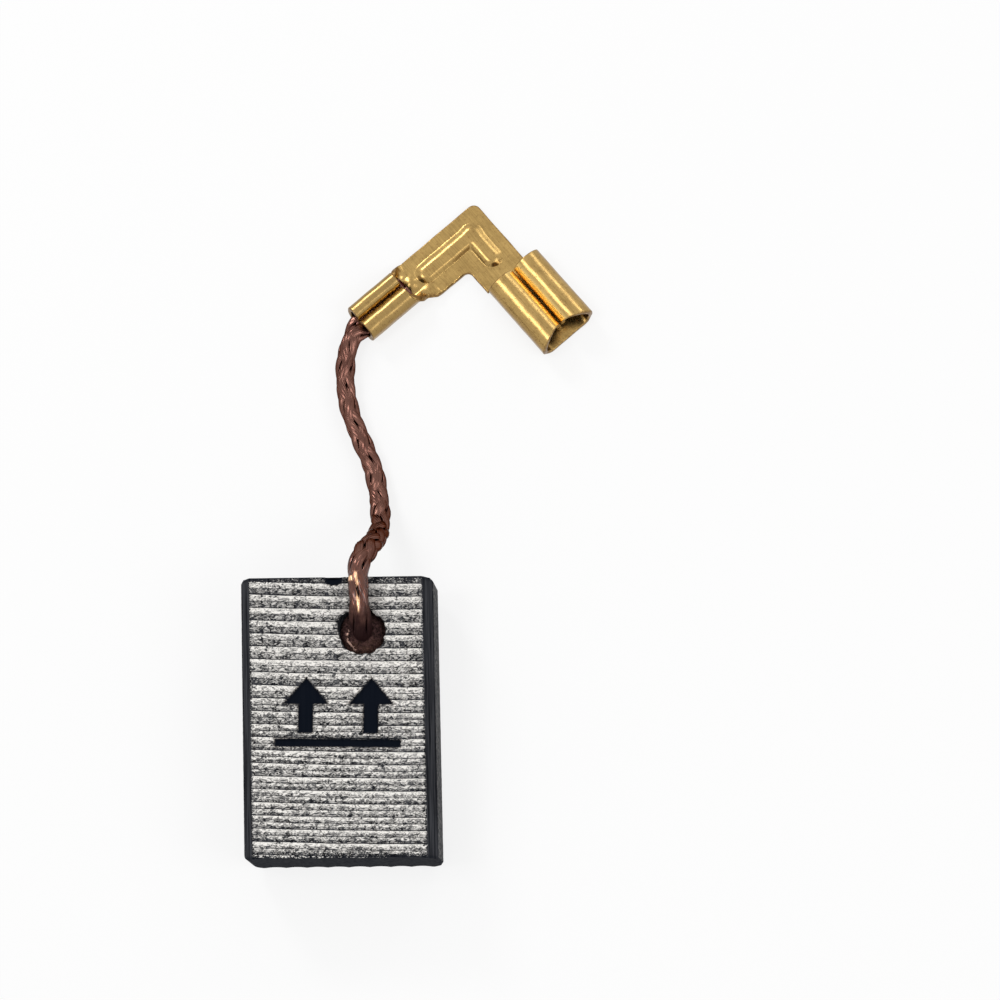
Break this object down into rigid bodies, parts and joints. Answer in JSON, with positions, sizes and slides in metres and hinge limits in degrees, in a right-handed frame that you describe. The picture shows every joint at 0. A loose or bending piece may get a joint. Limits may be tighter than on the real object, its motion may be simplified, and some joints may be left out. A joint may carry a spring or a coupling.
{
  "type": "carbon brush",
  "caption": "Carbon brush for a small motor: a ground carbon block with a braided copper lead that ends in a brass flag terminal.",
  "frame": {"origin": "middle of the block's back face, which lies on the surface", "axes": "+Y along the block from the running end towards the lead, +Z out of the front face, +X across the block towards the bore's side"},
  "size_m": [0.0204, 0.0388, 0.0065],
  "materials": {
    "carbon": "pressed carbon, ground on its wide and narrow faces",
    "copper_powder": "tamped copper powder, dull",
    "copper_braid": "bare braided copper wire",
    "brass_sheet": "stamped brass, lightly tarnished"
  },
  "bodies": {
    "root": {"carbon_block": "carbon", "tamped_powder": "copper_powder", "shunt_braid": "copper_braid", "flag_terminal": "brass_sheet"}
  },
  "joints": []
}
